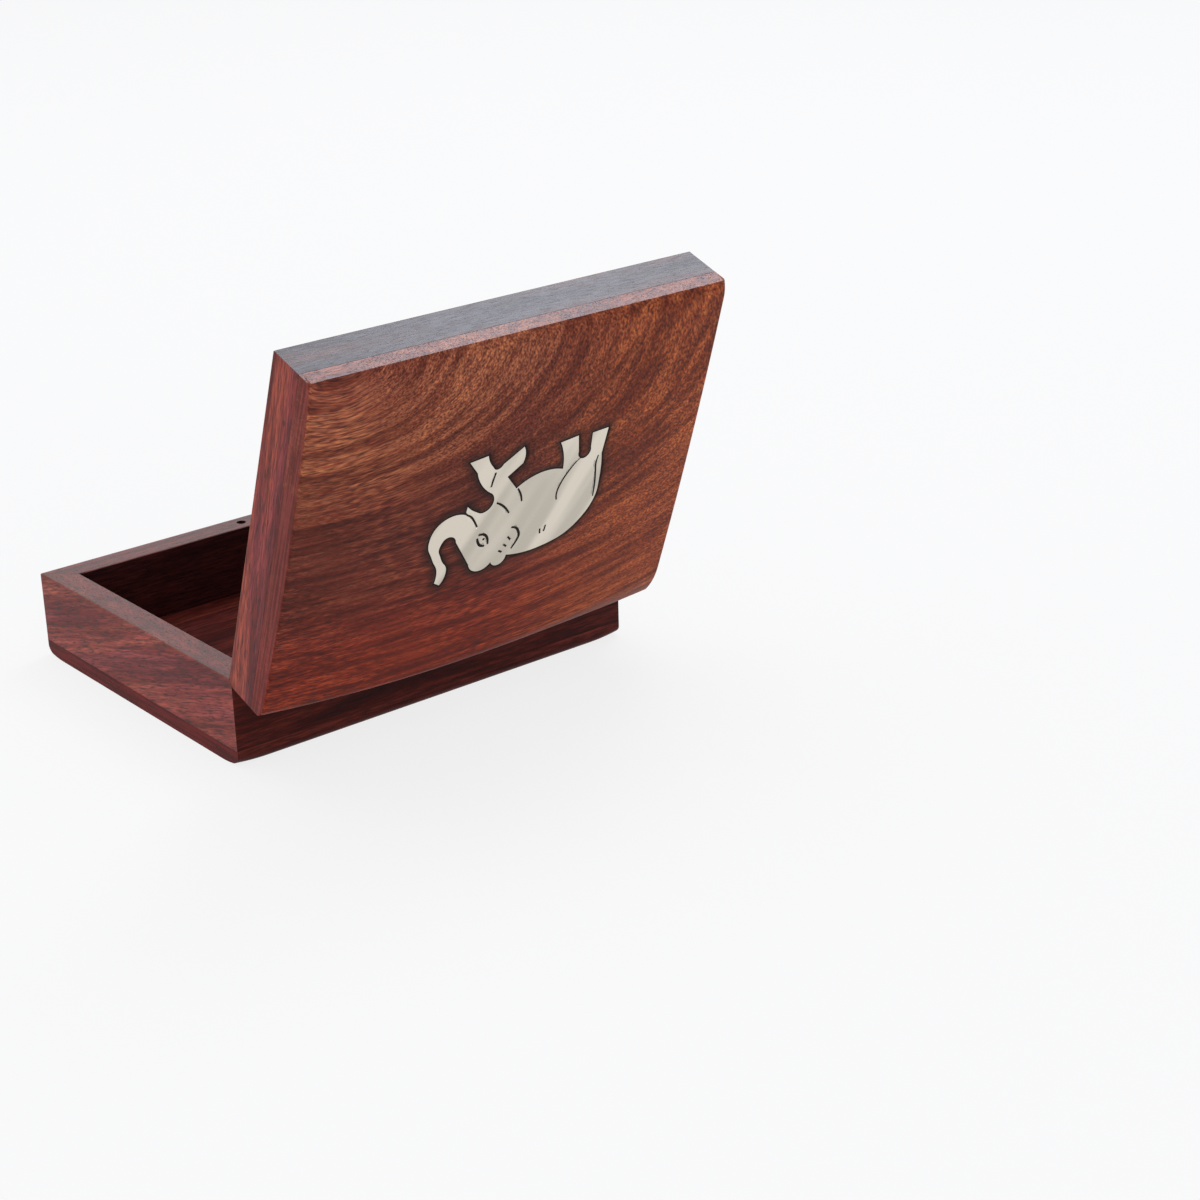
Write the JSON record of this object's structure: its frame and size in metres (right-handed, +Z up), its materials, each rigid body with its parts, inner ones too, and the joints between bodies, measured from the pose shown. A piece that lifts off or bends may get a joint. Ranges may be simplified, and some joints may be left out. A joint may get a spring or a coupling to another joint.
{
  "type": "wooden playing card box",
  "caption": "Hinged hardwood box for a deck of playing cards: mitred tray and domed, mitred lid with an inlaid metal elephant, open on its stop.",
  "frame": {"origin": "centre of the tray's underside, on the surface it stands on", "axes": "+X along the length, to the right of someone at the front; +Y towards the hinges at the rear; +Z up"},
  "size_m": [0.114, 0.1316, 0.1057],
  "materials": {
    "tray_wood": "satin sheesham, hand rubbed",
    "lid_wood": "satin sheesham, hand rubbed",
    "white_metal": "nickel silver, hand polished, engraved lines filled dark",
    "dark_filler": "dark lac filler",
    "hinge_brass": "plain rolled brass"
  },
  "bodies": {
    "tray": {"tray_front_wall": "tray_wood", "tray_rear_wall": "tray_wood", "tray_left_wall": "tray_wood", "tray_right_wall": "tray_wood", "tray_bottom": "tray_wood", "hinge_tray_leaf_left": "hinge_brass", "hinge_tray_leaf_right": "hinge_brass", "hinge_pin_left": "hinge_brass", "hinge_pin_right": "hinge_brass", "hinge_tray_screws": "hinge_brass"},
    "lid": {"lid_front_rail": "lid_wood", "lid_rear_rail": "lid_wood", "lid_left_rail": "lid_wood", "lid_right_rail": "lid_wood", "lid_panel": "lid_wood", "elephant_inlay": "white_metal", "hinge_lid_leaf_left": "hinge_brass", "hinge_lid_leaf_right": "hinge_brass", "hinge_lid_screws": "hinge_brass", "closing_pin": "hinge_brass"}
  },
  "joints": [
    {"name": "lid_hinge", "type": "hinge", "parent": "tray", "child": "lid", "pos_m": [0, 0.0438, 0.02208], "axis": [1, 0, 0], "range_deg": [0, 109.6]}
  ]
}
